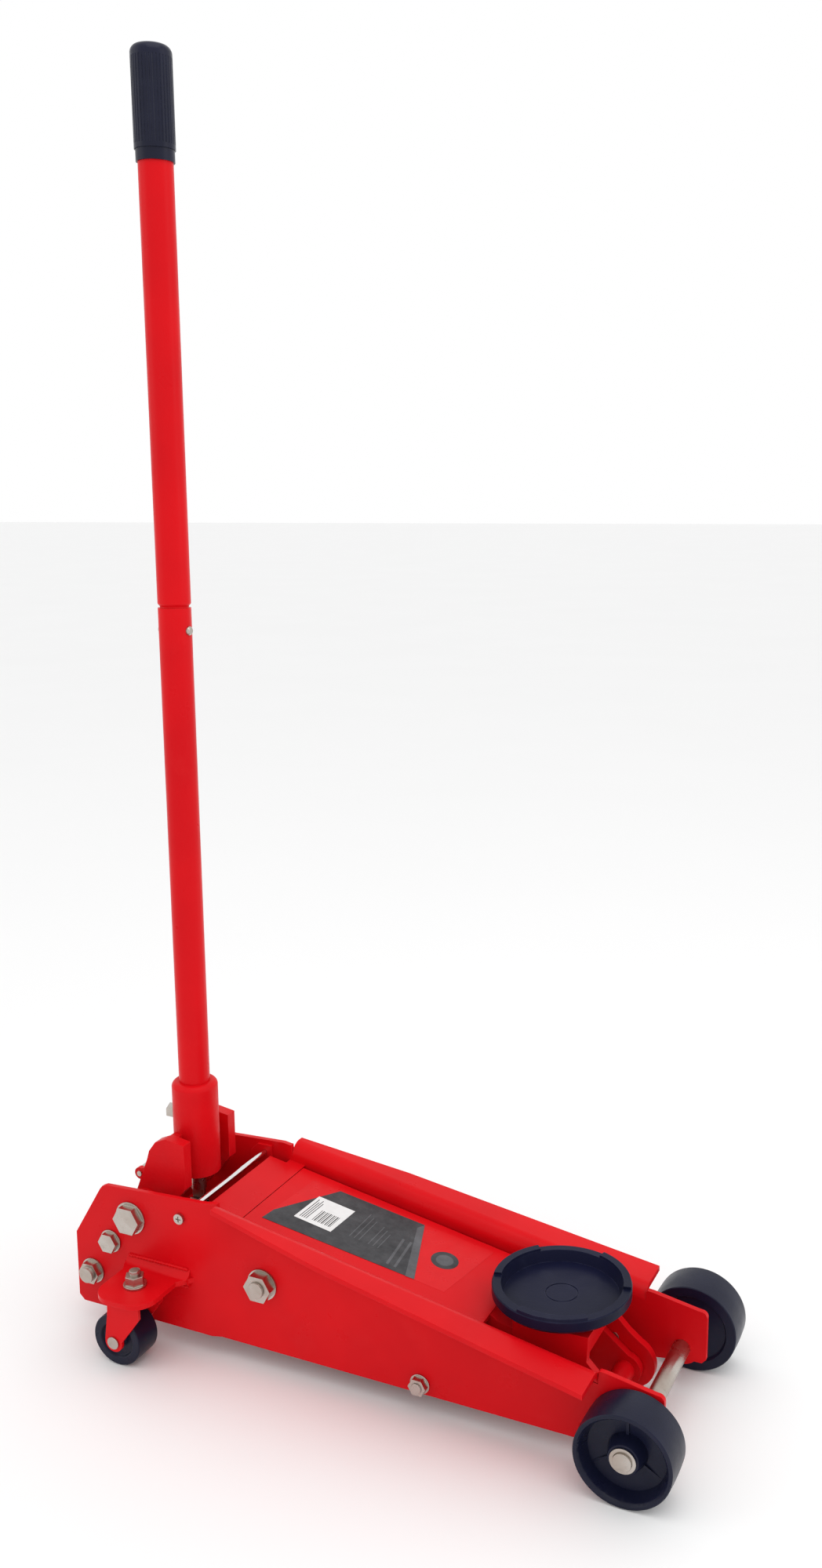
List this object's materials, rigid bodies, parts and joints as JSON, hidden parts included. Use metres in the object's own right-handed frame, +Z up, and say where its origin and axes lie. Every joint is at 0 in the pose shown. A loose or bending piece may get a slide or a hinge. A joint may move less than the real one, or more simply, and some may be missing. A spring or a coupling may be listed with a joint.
{
  "type": "trolley jack",
  "caption": "Hydraulic trolley floor jack with a long bent-plate chassis, level-lifting saddle, twist-and-pump upright handle and swivel casters",
  "frame": {"origin": "on the floor, under the middle of the jack's overall length and width; the handle is upright and the arm is down", "axes": "X points to the saddle end, Y to the jack's left, Z up"},
  "size_m": [0.65, 0.28, 1.2145],
  "materials": {
    "red_paint": "gloss powder coat",
    "dark_paint": "satin paint on cast steel",
    "dark_wheel": "satin moulded nylon",
    "grip_plastic": "fluted moulded grip",
    "zinc_steel": "bright zinc plate",
    "chrome_rod": "ground and plated",
    "raw_steel": "oiled machined steel",
    "label_film": "printed vinyl, blank"
  },
  "bodies": {
    "frame": {"left_side_plate": "red_paint", "right_side_plate": "red_paint", "rear_cover": "red_paint", "left_outrigger": "red_paint", "right_outrigger": "red_paint", "cross_rod": "chrome_rod", "rod_brackets": "red_paint", "bracket_screws": "zinc_steel", "tie_rod": "zinc_steel", "tie_rod_nuts": "zinc_steel", "arm_pivot_shaft": "zinc_steel", "arm_pivot_nuts": "zinc_steel", "link_rear_pins": "zinc_steel", "pump_block": "red_paint", "reservoir_tube": "red_paint", "ram_cylinder": "raw_steel", "gland_nut": "raw_steel", "filler_plug": "zinc_steel", "block_bolts": "zinc_steel", "block_stud_nuts": "zinc_steel", "yoke_pivot_bolts": "zinc_steel", "yoke_bushes": "zinc_steel", "swivel_bolts": "zinc_steel", "swivel_nuts": "zinc_steel", "swivel_races": "zinc_steel", "plunger_spring": "red_paint"},
    "release_valve": {"release_stem": "zinc_steel"},
    "yoke": {"handle_yoke": "red_paint", "roller_pin": "zinc_steel", "set_bolt": "zinc_steel"},
    "roller": {"yoke_roller": "zinc_steel"},
    "handle": {"lower_handle": "red_paint", "upper_handle": "red_paint", "handle_grip": "grip_plastic", "release_tongue": "zinc_steel"},
    "rear_button": {"rear_button": "zinc_steel"},
    "front_button": {"front_button": "zinc_steel"},
    "plunger": {"pump_plunger": "zinc_steel"},
    "arm": {"lift_arm": "red_paint", "arm_label": "label_film", "heel_pin": "zinc_steel"},
    "carrier": {"saddle_carrier": "red_paint", "carrier_pin": "zinc_steel", "link_front_pins": "zinc_steel"},
    "saddle": {"saddle": "dark_paint"},
    "left_link": {"left_link": "zinc_steel"},
    "right_link": {"right_link": "zinc_steel"},
    "ram": {"ram_piston": "chrome_rod"},
    "axle": {"front_axle": "zinc_steel", "axle_washers": "zinc_steel", "axle_clips": "zinc_steel"},
    "left_front_wheel": {"left_front_wheel": "dark_wheel"},
    "right_front_wheel": {"right_front_wheel": "dark_wheel"},
    "left_caster": {"left_caster_fork": "red_paint", "left_caster_axle": "zinc_steel"},
    "right_caster": {"right_caster_fork": "red_paint", "right_caster_axle": "zinc_steel"},
    "left_caster_wheel": {"left_caster_wheel": "dark_wheel"},
    "right_caster_wheel": {"right_caster_wheel": "dark_wheel"}
  },
  "joints": [
    {"name": "arm_lift", "type": "hinge", "parent": "frame", "child": "arm", "pos_m": [-0.099, 0, 0.095], "axis": [0, -1, 0], "range_deg": [0, 62]},
    {"name": "carrier_level", "type": "hinge", "parent": "arm", "child": "carrier", "pos_m": [0.236, 0, 0.033], "axis": [0, -1, 0], "range_deg": [-62, 0]},
    {"name": "left_link_swing", "type": "hinge", "parent": "frame", "child": "left_link", "pos_m": [-0.113, 0.05, 0.121], "axis": [0, -1, 0], "range_deg": [0, 62]},
    {"name": "right_link_swing", "type": "hinge", "parent": "frame", "child": "right_link", "pos_m": [-0.113, -0.05, 0.121], "axis": [0, -1, 0], "range_deg": [0, 62]},
    {"name": "ram_extend", "type": "slide", "parent": "frame", "child": "ram", "axis": [1, 0, 0], "range_m": [0, 0.0537]},
    {"name": "saddle_turn", "type": "hinge", "parent": "carrier", "child": "saddle", "pos_m": [0.183, 0, 0.12], "axis": [0, 0, 1], "continuous": true},
    {"name": "axle_float", "type": "slide", "parent": "frame", "child": "axle", "axis": [0, 1, 0], "range_m": [-0.0248, 0]},
    {"name": "left_front_roll", "type": "hinge", "parent": "axle", "child": "left_front_wheel", "pos_m": [0.28, 0.117, 0.045], "axis": [0, 1, 0], "continuous": true},
    {"name": "right_front_roll", "type": "hinge", "parent": "axle", "child": "right_front_wheel", "pos_m": [0.28, -0.092, 0.045], "axis": [0, 1, 0], "continuous": true},
    {"name": "left_caster_swivel", "type": "hinge", "parent": "frame", "child": "left_caster", "pos_m": [-0.2235, 0.107, 0.07], "axis": [0, 0, 1], "range_deg": [-206, 26]},
    {"name": "right_caster_swivel", "type": "hinge", "parent": "frame", "child": "right_caster", "pos_m": [-0.2235, -0.107, 0.07], "axis": [0, 0, 1], "range_deg": [-26, 206]},
    {"name": "left_caster_roll", "type": "hinge", "parent": "left_caster", "child": "left_caster_wheel", "pos_m": [-0.239, 0.107, 0.0275], "axis": [0, 1, 0], "continuous": true},
    {"name": "right_caster_roll", "type": "hinge", "parent": "right_caster", "child": "right_caster_wheel", "pos_m": [-0.239, -0.107, 0.0275], "axis": [0, 1, 0], "continuous": true},
    {"name": "yoke_pump", "type": "hinge", "parent": "frame", "child": "yoke", "pos_m": [-0.251, 0, 0.133], "axis": [0, -1, 0], "range_deg": [0, 38]},
    {"name": "plunger_stroke", "type": "slide", "parent": "frame", "child": "plunger", "axis": [0, 0, -1], "range_m": [0, 0.0232], "deforming": ["plunger_spring"]},
    {"name": "roller_turn", "type": "hinge", "parent": "yoke", "child": "roller", "pos_m": [-0.28375, 0, 0.1469], "axis": [0, 1, 0], "continuous": true},
    {"name": "handle_twist", "type": "hinge", "parent": "yoke", "child": "handle", "pos_m": [-0.22051, 0, 0.13244], "axis": [0.0183, 0, 0.9998], "range_deg": [0, 180]},
    {"name": "release_turn", "type": "hinge", "parent": "frame", "child": "release_valve", "pos_m": [-0.2205, 0, 0.11], "axis": [0, 0, 1], "range_deg": [0, 180]},
    {"name": "rear_button_press", "type": "slide", "parent": "handle", "child": "rear_button", "axis": [0.9998, 0, -0.0183], "range_m": [0, 0.003], "stiffness_N_per_m": 200, "springref_m": -0.003},
    {"name": "front_button_press", "type": "slide", "parent": "handle", "child": "front_button", "axis": [-0.9998, 0, 0.0183], "range_m": [0, 0.003], "stiffness_N_per_m": 200, "springref_m": -0.003}
  ],
  "couplings": [
    {"joint": "carrier_level", "follows": "arm_lift", "ratio": -1},
    {"joint": "left_link_swing", "follows": "arm_lift", "ratio": 1},
    {"joint": "right_link_swing", "follows": "arm_lift", "ratio": 1},
    {"joint": "ram_extend", "follows": "arm_lift", "m_per_rad": 0.0495},
    {"joint": "plunger_stroke", "follows": "yoke_pump", "m_per_rad": 0.0348},
    {"joint": "release_turn", "follows": "handle_twist", "ratio": 1}
  ]
}
